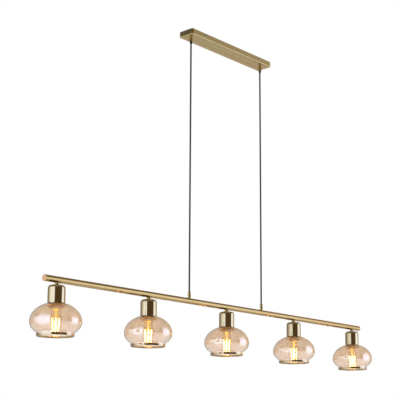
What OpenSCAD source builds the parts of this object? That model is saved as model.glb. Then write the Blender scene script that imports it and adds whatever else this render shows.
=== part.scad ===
// Five-light bar pendant: a ceiling canopy, two cables, a straight bar and five glass shades
// Lengths in millimetres, +Z up, the bar along X, the origin on the ceiling between the fixing slots

/* [Ceiling canopy] */
// Length of the canopy along the bar
canopy_len = 400; // [370:1:600]
// Width of the canopy
canopy_w = 58; // [56:1:90]
// Height of the canopy
canopy_h = 18; // [18:0.5:35]
// Sheet thickness of the canopy
canopy_t = 1; // [0.8:0.1:1.5]
// Radius of the canopy's upright corners
canopy_corner_r = 6; // [4:0.5:10]
// Outer bend radius along the canopy's lower edge
canopy_edge_r = 2; // [1.6:0.1:3]

/* [Ceiling bracket] */
// Length of the bracket's strip
bracket_len = 300; // [290:1:360]
// Width of the bracket's strip
bracket_w = 24; // [20:1:34]
// Sheet thickness of the bracket
bracket_t = 1.5; // [1:0.1:2]
// Distance between the two ceiling fixing slots
fixing_pitch = 200; // [150:1:230]
// End-to-end length of a ceiling fixing slot
slot_len = 24; // [10:1:30]
// Width of a ceiling fixing slot
slot_w = 5.2; // [4:0.1:8]
// Width of a cross arm, with the tab that takes a side screw
arm_w = 12; // [10:0.5:20]
// Length of the tabs bent down from the cross arms
tab_h = 11; // [9:0.5:16]
// Distance of the side screws from the middle of the canopy
side_screw_x = 134; // [120:1:142]
// Depth of the side screws below the ceiling
side_screw_drop = 5.5; // [5:0.1:6.5]
// Distance of the earth screw from the middle of the bracket
earth_screw_x = 45; // [30:1:60]

/* [Bracket screws] */
// Shank diameter of a bracket screw
screw_d = 4; // [3:0.5:5]
// Shank length of a bracket screw
screw_len = 6; // [5:0.5:8]
// Head diameter of a bracket screw
screw_head_d = 8; // [7:0.1:9]
// Head height of a bracket screw
screw_head_h = 2.4; // [2:0.1:3]
// Length of an arm of the cross recess
cross_len = 4.2; // [3:0.1:5]
// Width of an arm of the cross recess
cross_w = 0.9; // [0.6:0.1:1.2]
// Depth of the cross recess
cross_depth = 1.4; // [1:0.1:1.6]

/* [Terminal block] */
// Distance between two poles of the terminal block
pole_pitch = 8; // [7:0.5:9]
// Width of the terminal block along the wires
block_w = 16; // [14:0.5:20]
// Height of the terminal block
block_h = 12; // [10:0.5:13]
// Bore of a pole for its wires
pole_bore_d = 3.2; // [3:0.1:4]
// Distance of a clamping screw from the middle of its pole
pole_screw_x = 4; // [3.5:0.1:5]
// Diameter of a clamping screw
pole_screw_d = 3; // [2.5:0.1:3.5]
// Depth of a clamping screw's head inside the block
pole_screw_sink = 1.5; // [1:0.1:2]

/* [Cables] */
// Distance from the ceiling down to the bar's axis
drop = 870; // [600:10:1500]
// Distance between the two cables
cable_pitch = 350; // [300:1:370]
// Outer diameter of a cable
cable_d = 5.3; // [4.5:0.1:5.6]
// Diameter of an insulated wire inside a cable and the bar
wire_d = 2; // [1.6:0.1:2.2]
// Distance between the two wires of a pair
wire_gap = 2.6; // [2.4:0.1:3]
// Bend radius of a wire in the canopy, on its middle line
wire_bend_r = 4; // [3:0.5:5]

/* [Canopy glands] */
// Diameter of a gland below the canopy
gland_d = 10.5; // [9.5:0.1:12]
// Height of a gland below the canopy
gland_h = 12; // [10:0.5:16]
// Diameter of a gland's threaded shank
gland_shank_d = 8.2; // [8:0.1:8.6]
// Length of a gland's threaded shank above the canopy's sheet
gland_shank_h = 5; // [4.5:0.1:6]
// Width across the flats of a gland's lock nut
gland_nut_af = 13; // [12:0.5:15]
// Thickness of a gland's lock nut
gland_nut_h = 3; // [2.5:0.1:4]
// Diameter of the set screws in the glands and the grips
set_screw_d = 3; // [2.5:0.1:4]
// Width across the flats of a set screw's hexagon socket
set_socket_af = 1.5; // [1:0.1:1.8]
// Depth of a set screw's hexagon socket
set_socket_depth = 1.2; // [0.8:0.1:1.4]
// Height of a bush below its gland
bush_h = 8; // [4:0.5:10]
// Diameter of a bush where it meets its gland
bush_top_d = 9.6; // [8.5:0.1:10.4]
// Diameter of a bush at its tip
bush_tip_d = 7.2; // [7.2:0.1:8]
// Diameter of a bush's spigot inside its gland
bush_spigot_d = 7.4; // [7.3:0.1:7.6]
// Length of a bush's spigot inside its gland
bush_spigot_h = 4; // [3:0.1:5]

/* [Bar] */
// Overall length of the bar with its end caps
bar_len = 1490; // [1450:1:1800]
// Outer diameter of the bar's tube
bar_d = 18; // [17:0.1:22]
// Wall of the bar's tube
bar_t = 1; // [0.8:0.1:1.5]
// Thickness of an end cap's face
end_cap_t = 3; // [2:0.1:6]
// Rounding of an end cap's edge
end_cap_r = 1.2; // [0.6:0.1:1.8]
// Length of an end cap's spigot inside the tube
end_spigot = 10; // [6:0.5:16]
// Diameter of a cable grip on top of the bar
grip_d = 9.6; // [9:0.1:10.5]
// Height of a cable grip above the bar's axis
grip_top = 29.5; // [26:0.5:36]
// Depth of a cable grip's spigot below the top of the bar
grip_spigot = 3; // [2:0.1:4]
// Diameter of a cable grip's spigot
grip_spigot_d = 7.6; // [7.2:0.1:8]
// Height of a grip's set screw above the bar's axis
grip_screw_z = 16; // [15:0.5:18]
// Height of a cable's lower end above the bar's axis
cable_end_z = 13; // [12:0.1:13.5]

/* [Light positions] */
// Number of lights along the bar
light_count = 5; // [3:1:5]
// Distance between two lights
light_pitch = 350; // [300:1:360]

/* [Stem and cup] */
// Height of the neck that shows between the bar and a cup
neck_h = 6.6; // [5:0.1:15]
// Diameter of the neck
neck_d = 12.5; // [11.5:0.1:14]
// Diameter of the stem's thread
stem_thread_d = 9.9; // [9.6:0.1:10]
// Bore of the stem for the wires
stem_bore_d = 7; // [6.6:0.1:7.4]
// Length of the thread below the cup's sheet
stem_thread_len = 8; // [6:0.5:9]
// Outer diameter of a cup
cup_d = 48; // [47:0.5:52]
// Height of a cup
cup_h = 48.6; // [44:0.1:52]
// Sheet thickness of a cup
cup_t = 1.2; // [0.8:0.1:1.6]
// Radius of a cup's shoulder
cup_shoulder_r = 8; // [4:0.5:12]

/* [Lampholder] */
// Overall height of a lampholder
holder_h = 60; // [58:0.5:64]
// Outer diameter of a lampholder's body
holder_d = 39.6; // [38:0.1:40]
// Diameter of the boss round the thread entry
boss_d = 17; // [15:0.5:20]
// Height of the boss
boss_h = 8.5; // [8:0.1:11]
// Radius of a lampholder's shoulder
holder_shoulder_r = 9; // [6:0.5:10]
// Wall of a lampholder's wiring chamber
holder_t = 3.2; // [2.5:0.1:4]
// Height of the bulb socket above the mouth
socket_depth = 26; // [26:0.1:28]
// Thickness of the plate between the socket and the wiring chamber
socket_plate_t = 4; // [3:0.1:5]
// Height of the lip that keeps the screw shell in
socket_lip_h = 3; // [2:0.1:4]
// Wall of the screw shell
shell_t = 0.6; // [0.4:0.05:0.8]
// Diameter of the centre contact
tongue_d = 8; // [6:0.5:10]
// Diameter of the centre contact's rivet
tongue_pin_d = 3; // [2.5:0.1:3.5]

/* [Glass shade] */
// Largest outer diameter of a shade
shade_d = 141.2; // [130:0.2:152]
// Rise of the shade's dome above its widest line
shade_up = 53; // [50:0.5:60]
// Drop of the shade's bowl below its widest line
shade_down = 42; // [40:0.5:50]
// Glass thickness of a shade
shade_t = 2.2; // [1.8:0.1:2.6]
// Outer diameter of a shade's lip, inside the rim ring
lip_d = 100.4; // [96:0.2:106]
// Depth of a shade's lip below the widest line
lip_depth = 38; // [36:0.1:44]
// Diameter of the hole at the top of a shade
shade_hole_d = 41; // [40.8:0.1:41.6]
// Diameter of a shade ring's flange
ring_flange_d = 56; // [50:0.5:60]
// Thickness of a shade ring's flange
ring_flange_t = 2.4; // [1.8:0.1:3]
// Height of a shade ring's sleeve below the flange
ring_sleeve_h = 4.5; // [3:0.1:5]
// Wall of a shade ring's sleeve
ring_sleeve_t = 2; // [1.5:0.1:3]
// Number of finger notches round a shade ring
ring_notches = 12; // [8:1:24]
// Diameter of a finger notch
ring_notch_d = 3; // [2:0.1:4]

/* [Rim ring] */
// Height of the rim ring
rim_h = 6; // [5:0.1:9]
// Sheet thickness of the rim ring
rim_t = 0.9; // [0.6:0.05:1.2]
// Height of the rim ring's inner wall
rim_inner_h = 4.5; // [3:0.1:5]

/* [Bulb] */
// Largest diameter of a bulb's glass
bulb_d = 35; // [30:0.5:38]
// Length of a bulb's glass below its cap
bulb_len = 70; // [66:0.5:76]
// Distance from the cap to the bulb's widest line
bulb_wide = 30; // [24:0.5:36]
// Length of the bulb's neck inside its cap
neck_seat_h = 2; // [1.5:0.1:3]
// Diameter of the bulb's neck at its cap
bulb_neck_d = 24; // [22:0.5:24.4]
// Wall of the bulb's glass
bulb_t = 0.9; // [0.6:0.1:1.2]
// Height of a bulb's cap
bulb_cap_h = 25; // [24:0.5:26]
// Crest diameter of the cap's screw thread
bulb_cap_d = 26.2; // [26:0.1:26.4]
// Pitch of the cap's screw thread
cap_pitch = 3.63; // [3:0.01:4]
// Depth of the cap's screw thread
cap_depth = 1.15; // [0.8:0.05:1.3]
// Wall of a bulb's cap under its thread
cap_t = 0.6; // [0.4:0.1:0.9]
// Distance the cap shows below the lampholder
cap_show = 3; // [2.5:0.1:5]
// Diameter of one light rod
rod_d = 1.8; // [1.2:0.1:2.4]
// Length of a light rod
rod_len = 32; // [26:0.5:34]
// Radius of the circle of light rods at their upper ends
rod_circle_r = 9.5; // [7:0.1:10.5]
// Radius of the circle of light rods at their lower ends
rod_foot_r = 8; // [5:0.1:8.5]
// Number of light rods
rod_count = 4; // [2:1:6]
// Diameter of the support wires in a bulb
support_d = 0.8; // [0.6:0.1:1.2]
// Diameter of the glass stem in a bulb
bulb_stem_d = 4.4; // [3:0.1:6]
// Distance from the cap down to the top of the light rods
rod_top = 24.5; // [24:0.5:28]
// Turn of the light rods about the bulb's axis, in degrees from the bar
rod_turn = 45; // [0:1:90]

/* [Fits] */
// Gap between pieces that are screwed or pressed together
seat = 0.05; // [0.02:0.01:0.1]
// Gap round a cable and a bulb's cap, and at a cable's ends
free_gap = 0.3; // [0.25:0.01:0.35]
// Clearance of a screw in a plain hole, across its diameter
hole_play = 0.4; // [0.2:0.05:0.6]

/* [Hidden] */
$fn = 96;
LIGHTS = [for (i = [1:light_count]) i];

// Distance a cutting solid runs past the face it opens
cut = 1;
// Overlap of two solids that make one piece
embed = 0.5;
// Overlap of two faces that would otherwise only touch
sliver = 0.01;
// Radius of the bracket's corners
bracket_corner_r = 3;
// Radius of a pan head's dome as a share of its diameter
pan_dome = 0.62;
// Distance of the earth screw's end from the ceiling
earth_screw_gap = 0.2;
// Poles of the terminal block, counted from the middle one
poles = [-1, 0, 1];
// Plastic beyond the outer poles
block_margin = 1;
// Width of a groove between two poles
block_groove_w = 1.6;
// Height of a groove between two poles as a share of the block's height
block_groove_share = 0.6;
// Width of the slot in a clamping screw
pole_slot_w = 0.6;
// Depth of the slot in a clamping screw
pole_slot_depth = 0.7;
// Distance of a wire's end from the middle of its clamping screw
wire_end_x = 1;
// Bevel along a gland's edges
gland_edge = 0.4;
// Depth of a set screw's end below the face of its gland or grip
set_screw_sink = 0.3;
// Wall of an end cap's spigot
end_spigot_t = 2;
// Bevel along the upper edge of a cable grip
grip_edge = 0.5;
// Length of a stem's thread inside the bar's tube
stem_rise = 2;
// Extra wall round the wiring chamber of a lampholder
chamber_inset = 2;
// Distance of the screw shell from the socket's upper end
shell_gap = 4;
// Length of the centre contact's rivet in the wiring chamber
rivet_rise = 2;
// Bevel along the edges of a shade ring
ring_edge = 0.5;
// Distance of a finger notch's middle outside the edge of its ring
ring_notch_out = 0.6;
// Facets round a finger notch
notch_facets = 32;
// Facets round a shade and its rim
shade_facets = 120;
// Points along each half of a shade's profile
shade_steps = 20;
// Points along a bulb's profile
bulb_steps = 28;
// Exponent of a bulb's profile below its widest line, 0.5 for an ellipse
bulb_tip_power = 0.55;
// Exponent that brings the points of a bulb's profile closer at its tip
bulb_step_power = 1.4;
// Turns of the thread on a bulb's cap
cap_turns = 5;
// Points along one turn of the thread
cap_turn_steps = 6;
// Height of the smooth skirt below the thread
cap_skirt_h = 2.5;
// Width of the cap's upper shoulder
cap_shoulder_w = 3;
// Height of the cap's insulator above the thread
cap_shoulder_h = 1;
// Radius of the cap's insulator
cap_insulator_r = 6;
// Radius of the contact button at its foot
button_foot_r = 4.6;
// Radius of the contact button below its bevel
button_r = 4.2;
// Radius of the contact button's flat end
button_flat_r = 3.4;
// Height of the contact button
button_h = 1.6;
// Height of the contact button's bevel
button_edge = 0.3;
// Height of the glass plug in a bulb's neck
plug_h = 3;
// Distance of the stem's lower end above the top of the light rods
hub_rise = 5;
// Length of the middle wire inside the stem
hub_wire = 2;
// Distance of the middle wire's end below the light rods
foot_drop = 2;
// Distance of the lower support wires' joint below the light rods
foot_joint = 1.5;
// Distance of the upper support wires' joint above the stem's lower end
hub_joint = 1;

bar_r = bar_d / 2;
cable_r = cable_d / 2;
cable_bore_r = cable_r + free_gap;
pivot_z = -canopy_h - gland_h - bush_h;
tail_low_z = pivot_z + cable_r + free_gap;
tail_high_z = -canopy_h + canopy_t + gland_shank_h;
gland_screw_z = -canopy_h - gland_h / 2;
wire_run_z = -bracket_t - block_h / 2;

cup_top_z = -bar_r - neck_h;
cup_roof_z = cup_top_z - cup_t;
cup_low_z = cup_top_z - cup_h;
cup_r = cup_d / 2;

holder_top_z = cup_roof_z - seat;
holder_low_z = holder_top_z - holder_h;
holder_r = holder_d / 2;
socket_top_z = holder_low_z + socket_depth;
chamber_low_z = socket_top_z + socket_plate_t;
chamber_top_z = holder_top_z - boss_h - holder_t;
cap_r = bulb_cap_d / 2;
shell_in_r = cap_r + free_gap;
shell_out_r = shell_in_r + shell_t;

shade_r = shade_d / 2;
shade_mid_z = cup_low_z - seat - shade_up * sqrt(1 - pow((cup_r - cup_t) / shade_r, 2));
lip_r = lip_d / 2;
lip_low_z = shade_mid_z - lip_depth;
ring_top_z = shade_inner_z(ring_flange_d / 2) - seat;
rim_low_z = lip_low_z - seat - rim_t;
rim_r = lip_r + seat + rim_t;
rim_in_r = lip_r - shade_t - seat - rim_t;

cap_rim_z = holder_low_z - cap_show;
cap_tip_z = cap_rim_z + bulb_cap_h;
bulb_r = bulb_d / 2;

// Place of light number i along the bar
function light_x(i) = (i - (light_count + 1) / 2) * light_pitch;

// Height of the dome's inner face at radius r
function shade_inner_z(r) = shade_mid_z + (shade_up - shade_t) * sqrt(1 - pow(r / (shade_r - shade_t), 2));

// Half profile of a shade's face from the top hole over the widest line to the lip, inset by d
function shade_face(d, steps) =
    let (
        a = shade_r - d,
        first = asin(shade_hole_d / 2 / a),
        last = acos((lip_r - d) / a)
    )
    concat(
        [for (k = [0:steps])
            let (t = first + (90 - first) * k / steps)
            [a * sin(t), shade_mid_z + (shade_up - d) * cos(t)]],
        [for (k = [1:steps])
            let (t = last * k / steps)
            [a * cos(t), shade_mid_z - (shade_down - d) * sin(t)]],
        [[lip_r - d, lip_low_z]]
    );

// Radius of a bulb's glass at distance s below the cap, inset by d
function bulb_face_r(s, d) =
    let (
        neck = bulb_neck_d / 2,
        below = (s - bulb_wide) / (bulb_len - d - bulb_wide)
    )
    s < bulb_wide
        ? neck + (bulb_r - neck) * (1 - cos(180 * s / bulb_wide)) / 2 - d
        : (bulb_r - d) * pow(max(0, 1 - pow(below, 2)), bulb_tip_power);

// Half profile of a bulb's glass, from its neck to its tip, inset by d
function bulb_face(d, steps) = [
    for (k = [0:steps])
    let (
        u = k / steps,
        s = (bulb_len - d) * (1 - pow(1 - u, bulb_step_power))
    )
    [bulb_face_r(s, d), cap_rim_z - s]
];

// Radius of the screw cap's wavy thread at distance s above the rim
function thread_r(s) = cap_r - cap_depth / 2 + cap_depth / 2 * cos(360 * s / cap_pitch);

// Half profile of the screw thread, drawn as rings
function thread_face(low, turns, steps) = [
    for (k = [0:turns * steps])
    let (s = k * cap_pitch / steps)
    [thread_r(s), cap_rim_z + low + s]
];

module at_light(i) translate([light_x(i), 0, -drop]) children();

module at_lights() for (i = LIGHTS) at_light(i) children();

module at_cables() for (s = [-1, 1]) translate([s * cable_pitch / 2, 0, 0]) children();

module at_grips() translate([0, 0, -drop]) at_cables() children();

// Round bar of diameter d from point a to point b
module rod_between(a, b, d) {
    v = b - a;
    flat = norm([v[0], v[1]]);
    translate(a)
        rotate([0, atan2(flat, v[2]), atan2(v[1], v[0])])
            cylinder(h = norm(v), d = d);
}

// Plain tube standing on z = 0
module tube(h, r_out, r_in) {
    difference() {
        cylinder(h = h, r = r_out);
        translate([0, 0, -cut]) cylinder(h = h + 2 * cut, r = r_in);
    }
}

// Rectangle with round corners, centred
module round_rect(len, w, r) {
    square([len - 2 * r, w], center = true);
    square([len, w - 2 * r], center = true);
    for (x = [-1, 1], y = [-1, 1]) translate([x * (len / 2 - r), y * (w / 2 - r)]) circle(r = r);
}

// Folded tray body with round upright corners and a round lower edge, from z = 0 up
module tray_form(len, w, h, corner_r, edge_r) {
    inner_r = corner_r - edge_r;
    linear_extrude(h) round_rect(len - 2 * edge_r, w - 2 * edge_r, inner_r);
    translate([0, 0, edge_r]) linear_extrude(h - edge_r) round_rect(len, w, corner_r);
    for (y = [-1, 1])
        translate([-len / 2 + corner_r, y * (w / 2 - edge_r), edge_r])
            rotate([0, 90, 0]) cylinder(h = len - 2 * corner_r, r = edge_r);
    for (x = [-1, 1])
        translate([x * (len / 2 - edge_r), w / 2 - corner_r, edge_r])
            rotate([90, 0, 0]) cylinder(h = w - 2 * corner_r, r = edge_r);
    for (x = [-1, 1], y = [-1, 1])
        translate([x * (len / 2 - corner_r), y * (w / 2 - corner_r), edge_r])
            rotate_extrude() translate([inner_r, 0]) intersection() {
                circle(r = edge_r);
                translate([0, -edge_r]) square([edge_r, 2 * edge_r]);
            }
}

// U-shaped notch in a long side of the canopy for one side screw
module side_notch() {
    notch_w = screw_d + hole_play;
    translate([0, 0, -side_screw_drop]) rotate([90, 0, 0])
        cylinder(h = 4 * canopy_t, d = notch_w, center = true);
    translate([-notch_w / 2, -2 * canopy_t, -side_screw_drop])
        cube([notch_w, 4 * canopy_t, side_screw_drop + cut]);
}

module ceiling_canopy() {
    color([0.60, 0.52, 0.36]) difference() {
        translate([0, 0, -canopy_h])
            tray_form(canopy_len, canopy_w, canopy_h, canopy_corner_r, canopy_edge_r);
        translate([0, 0, -canopy_h + canopy_t])
            tray_form(canopy_len - 2 * canopy_t, canopy_w - 2 * canopy_t, canopy_h,
                canopy_corner_r - canopy_t, canopy_edge_r - canopy_t);
        at_cables() translate([0, 0, -canopy_h - cut])
            cylinder(h = canopy_t + 2 * cut, d = gland_shank_d + 2 * seat);
        for (x = [-1, 1], y = [-1, 1])
            translate([x * side_screw_x, y * (canopy_w - canopy_t) / 2, 0]) side_notch();
    }
}

module mounting_bracket() {
    tab_face = canopy_w / 2 - canopy_t - seat;
    color([0.72, 0.73, 0.74]) difference() {
        union() {
            translate([0, 0, -bracket_t]) linear_extrude(bracket_t)
                round_rect(bracket_len, bracket_w, bracket_corner_r);
            for (x = [-1, 1]) translate([x * side_screw_x - arm_w / 2, -tab_face, -bracket_t])
                cube([arm_w, 2 * tab_face, bracket_t]);
            for (x = [-1, 1], y = [-1, 1])
                translate([x * side_screw_x, y * (tab_face - bracket_t / 2), -tab_h / 2])
                    cube([arm_w, bracket_t, tab_h], center = true);
        }
        for (x = [-1, 1]) translate([x * fixing_pitch / 2, 0, -bracket_t - cut])
            linear_extrude(bracket_t + 2 * cut) {
                square([slot_len - slot_w, slot_w], center = true);
                for (e = [-1, 1]) translate([e * (slot_len - slot_w) / 2, 0]) circle(d = slot_w);
            }
        for (x = [-1, 1]) translate([x * side_screw_x, 0, -side_screw_drop]) rotate([90, 0, 0])
            cylinder(h = canopy_w, d = screw_d + 2 * seat, center = true);
        translate([earth_screw_x, 0, -bracket_t - cut])
            cylinder(h = bracket_t + 2 * cut, d = screw_d + 2 * seat);
    }
}

// Pan-head cross-recess screw whose shank points along +Z from the head's seat at z = 0
module pan_screw(shank) {
    dome_r = screw_head_d * pan_dome;
    difference() {
        union() {
            cylinder(h = shank, d = screw_d);
            rotate_extrude() intersection() {
                translate([0, -screw_head_h]) square([screw_head_d / 2, screw_head_h]);
                translate([0, dome_r - screw_head_h]) circle(r = dome_r);
            }
        }
        for (a = [0, 90]) rotate([0, 0, a])
            translate([-cross_len / 2, -cross_w / 2, -screw_head_h - cut])
                cube([cross_len, cross_w, cross_depth + cut]);
    }
}

module bracket_screws() {
    color([0.78, 0.79, 0.80]) {
        for (x = [-1, 1], y = [-1, 1])
            translate([x * side_screw_x, y * (canopy_w / 2 + seat), -side_screw_drop])
                rotate([y * 90, 0, 0]) pan_screw(screw_len);
        translate([earth_screw_x, 0, -bracket_t - seat])
            pan_screw(bracket_t + seat - earth_screw_gap);
    }
}

module terminal_block() {
    block_len = len(poles) * pole_pitch + 2 * block_margin;
    groove_h = block_h * block_groove_share;
    color([0.93, 0.92, 0.88]) difference() {
        translate([-block_w / 2, -block_len / 2, -bracket_t - seat - block_h])
            cube([block_w, block_len, block_h]);
        for (k = [-1, 1]) translate([0, k * pole_pitch / 2, -bracket_t - block_h])
            cube([block_w + 2 * cut, block_groove_w, groove_h], center = true);
        for (k = poles) {
            translate([0, k * pole_pitch, wire_run_z]) rotate([0, 90, 0])
                cylinder(h = block_w + 2 * cut, d = pole_bore_d, center = true);
            for (e = [-1, 1])
                translate([e * pole_screw_x, k * pole_pitch, -bracket_t - seat - block_h - cut])
                    cylinder(h = block_h / 2 + cut, d = pole_screw_d + 2 * seat);
        }
    }
}

module terminal_screws() {
    low_z = -bracket_t - seat - block_h + pole_screw_sink;
    color([0.80, 0.66, 0.35])
        for (k = poles, e = [-1, 1])
            translate([e * pole_screw_x, k * pole_pitch, low_z]) difference() {
                cylinder(h = wire_run_z - wire_d / 2 - seat - low_z, d = pole_screw_d);
                translate([-pole_screw_d, -pole_slot_w / 2, -cut])
                    cube([2 * pole_screw_d, pole_slot_w, pole_slot_depth + cut]);
            }
}

module canopy_glands() {
    shank_h = gland_shank_h + canopy_t;
    face_r = gland_d / 2 - gland_edge;
    color([0.70, 0.55, 0.30]) at_cables() difference() {
        union() {
            translate([0, 0, -canopy_h - seat - gland_h]) rotate_extrude() polygon([
                [0, 0], [face_r, 0], [gland_d / 2, gland_edge],
                [gland_d / 2, gland_h - gland_edge], [face_r, gland_h], [0, gland_h]
            ]);
            translate([0, 0, -canopy_h - seat]) cylinder(h = shank_h + seat, d = gland_shank_d);
        }
        translate([0, 0, -canopy_h - gland_h - cut])
            cylinder(h = gland_h + shank_h + 2 * cut, r = cable_bore_r);
        translate([0, 0, -canopy_h - gland_h - cut])
            cylinder(h = bush_spigot_h + cut + seat, d = bush_spigot_d + 2 * seat);
        translate([0, 0, gland_screw_z]) rotate([90, 0, 0])
            cylinder(h = gland_d, d = set_screw_d + 2 * seat);
    }
}

module gland_nuts() {
    color([0.75, 0.62, 0.36]) at_cables()
        translate([0, 0, -canopy_h + canopy_t + seat]) difference() {
            cylinder(h = gland_nut_h, d = gland_nut_af / cos(30), $fn = 6);
            translate([0, 0, -cut])
                cylinder(h = gland_nut_h + 2 * cut, d = gland_shank_d + 2 * seat);
        }
}

// Headless set screw lying along -Y, from radius tip_r out to radius out_r
module set_screw(tip_r, out_r) {
    rotate([90, 0, 0]) difference() {
        translate([0, 0, tip_r]) cylinder(h = out_r - tip_r, d = set_screw_d);
        translate([0, 0, out_r - set_socket_depth])
            cylinder(h = set_socket_depth + cut, d = set_socket_af / cos(30), $fn = 6);
    }
}

module gland_set_screws() {
    color([0.35, 0.33, 0.30]) at_cables() translate([0, 0, gland_screw_z])
        set_screw(cable_r + seat, gland_d / 2 - set_screw_sink);
}

module cable_bushes() {
    top_z = -canopy_h - gland_h - 2 * seat;
    color([0.08, 0.08, 0.08]) at_cables() difference() {
        union() {
            translate([0, 0, pivot_z]) cylinder(h = top_z - pivot_z, d1 = bush_tip_d, d2 = bush_top_d);
            translate([0, 0, top_z - embed]) cylinder(h = bush_spigot_h + embed, d = bush_spigot_d);
        }
        translate([0, 0, pivot_z - cut])
            cylinder(h = gland_h + bush_h, r = cable_bore_r);
    }
}

// One insulated wire that rises from point a, bends flat and runs to point b
module bent_wire(a, b) {
    way = atan2(b[1] - a[1], b[0] - a[0]);
    run = norm([b[0] - a[0], b[1] - a[1]]) - wire_bend_r;
    translate(a) {
        cylinder(h = b[2] - a[2] - wire_bend_r, d = wire_d);
        rotate([0, 0, way]) translate([wire_bend_r, 0, b[2] - a[2] - wire_bend_r]) {
            rotate([90, 0, 180]) rotate_extrude(angle = 90)
                translate([wire_bend_r, 0]) rotate(90) circle(d = wire_d);
            translate([0, 0, wire_bend_r]) rotate([0, 90, 0]) cylinder(h = run, d = wire_d);
        }
    }
}

module inner_cable_tails() {
    color([0.12, 0.12, 0.12]) for (s = [-1, 1]) {
        x = s * cable_pitch / 2;
        translate([x, 0, tail_low_z]) cylinder(h = tail_high_z - tail_low_z, r = cable_r);
        for (y = [-1, 1])
            bent_wire([x, y * wire_gap / 2, tail_high_z],
                [s * (pole_screw_x - wire_end_x), y * pole_pitch, wire_run_z]);
    }
}

module suspension_cable(side) {
    low_z = -drop + cable_end_z;
    color([0.06, 0.06, 0.06]) translate([side * cable_pitch / 2, 0, 0]) {
        translate([0, 0, low_z]) cylinder(h = pivot_z - low_z, r = cable_r);
        translate([0, 0, pivot_z]) sphere(r = cable_r);
    }
}

module bar_tube() {
    tube_len = bar_len - 2 * end_cap_t - 2 * seat;
    color([0.66, 0.54, 0.32]) translate([0, 0, -drop]) difference() {
        rotate([0, 90, 0]) cylinder(h = tube_len, r = bar_r, center = true);
        rotate([0, 90, 0]) cylinder(h = tube_len + 2 * cut, r = bar_r - bar_t, center = true);
        for (i = LIGHTS) translate([light_x(i), 0, -bar_r - cut])
            cylinder(h = bar_r + cut, d = stem_thread_d + 2 * seat);
        at_cables() cylinder(h = bar_r + cut, d = grip_spigot_d + 2 * seat);
    }
}

// End cap for the bar's end towards +X, with its face's outer plane at x = bar_len / 2
module end_cap() {
    spigot_r = bar_r - bar_t - seat;
    color([0.72, 0.56, 0.38]) translate([bar_len / 2, 0, -drop]) rotate([0, 90, 0]) {
        translate([0, 0, -end_cap_t]) rotate_extrude() {
            square([bar_r, end_cap_t - end_cap_r]);
            square([bar_r - end_cap_r, end_cap_t]);
            translate([bar_r - end_cap_r, end_cap_t - end_cap_r]) circle(r = end_cap_r);
        }
        translate([0, 0, -end_cap_t - end_spigot])
            tube(end_spigot + end_cap_t / 2, spigot_r, spigot_r - end_spigot_t);
    }
}

module bar_end_cap_left() mirror([1, 0, 0]) end_cap();

module bar_end_cap_right() end_cap();

module bar_cable_grips() {
    color([0.72, 0.57, 0.32]) at_grips() difference() {
        union() {
            difference() {
                rotate_extrude() polygon([
                    [0, 0], [grip_d / 2, 0], [grip_d / 2, grip_top - grip_edge],
                    [grip_d / 2 - grip_edge, grip_top], [0, grip_top]
                ]);
                rotate([0, 90, 0]) cylinder(h = 2 * grip_d, r = bar_r + seat, center = true);
            }
            translate([0, 0, bar_r - grip_spigot])
                cylinder(h = grip_spigot + embed, d = grip_spigot_d);
        }
        cylinder(h = grip_top + cut, r = cable_bore_r);
        translate([0, 0, grip_screw_z]) rotate([90, 0, 0])
            cylinder(h = grip_d, d = set_screw_d + 2 * seat);
    }
}

module grip_set_screws() {
    color([0.35, 0.33, 0.30]) at_grips() translate([0, 0, grip_screw_z])
        set_screw(cable_bore_r, grip_d / 2 - set_screw_sink);
}

// Two wires along the bar, with a pair up to each cable and a pair down to each lampholder
module bar_wiring() {
    reach = (light_count - 1) / 2 * light_pitch + wire_d / 2;
    up_h = cable_end_z - free_gap;
    down_h = -chamber_top_z + holder_t;
    color([0.45, 0.25, 0.20]) for (y = [-1, 1]) translate([0, y * wire_gap / 2, -drop]) {
        rotate([0, 90, 0]) cylinder(h = 2 * reach, d = wire_d, center = true);
        at_cables() cylinder(h = up_h, d = wire_d);
        for (i = LIGHTS) translate([light_x(i), 0, -down_h]) cylinder(h = down_h, d = wire_d);
    }
}

module light_stems() {
    low_z = cup_roof_z - stem_thread_len;
    color([0.74, 0.58, 0.32]) at_lights() difference() {
        union() {
            difference() {
                translate([0, 0, cup_top_z + seat]) cylinder(h = -cup_top_z, d = neck_d);
                rotate([0, 90, 0]) cylinder(h = 2 * neck_d, r = bar_r + seat, center = true);
            }
            translate([0, 0, low_z])
                cylinder(h = -low_z - bar_r + bar_t + stem_rise, d = stem_thread_d);
        }
        translate([0, 0, low_z - cut]) cylinder(h = -low_z, d = stem_bore_d);
    }
}

// Cup body before hollowing: a cylinder with a round shoulder, from its lower edge up
module cup_form(r, h, shoulder) {
    rotate_extrude() {
        square([r, h - shoulder]);
        square([r - shoulder, h]);
        translate([r - shoulder, h - shoulder]) intersection() {
            circle(r = shoulder);
            square(shoulder);
        }
    }
}

module cup() {
    color([0.70, 0.58, 0.34]) translate([0, 0, cup_low_z]) difference() {
        cup_form(cup_r, cup_h, cup_shoulder_r);
        translate([0, 0, -cut]) cup_form(cup_r - cup_t, cup_h - cup_t + cut, cup_shoulder_r - cup_t);
        cylinder(h = cup_h + cut, d = stem_thread_d + hole_play);
    }
}

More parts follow.
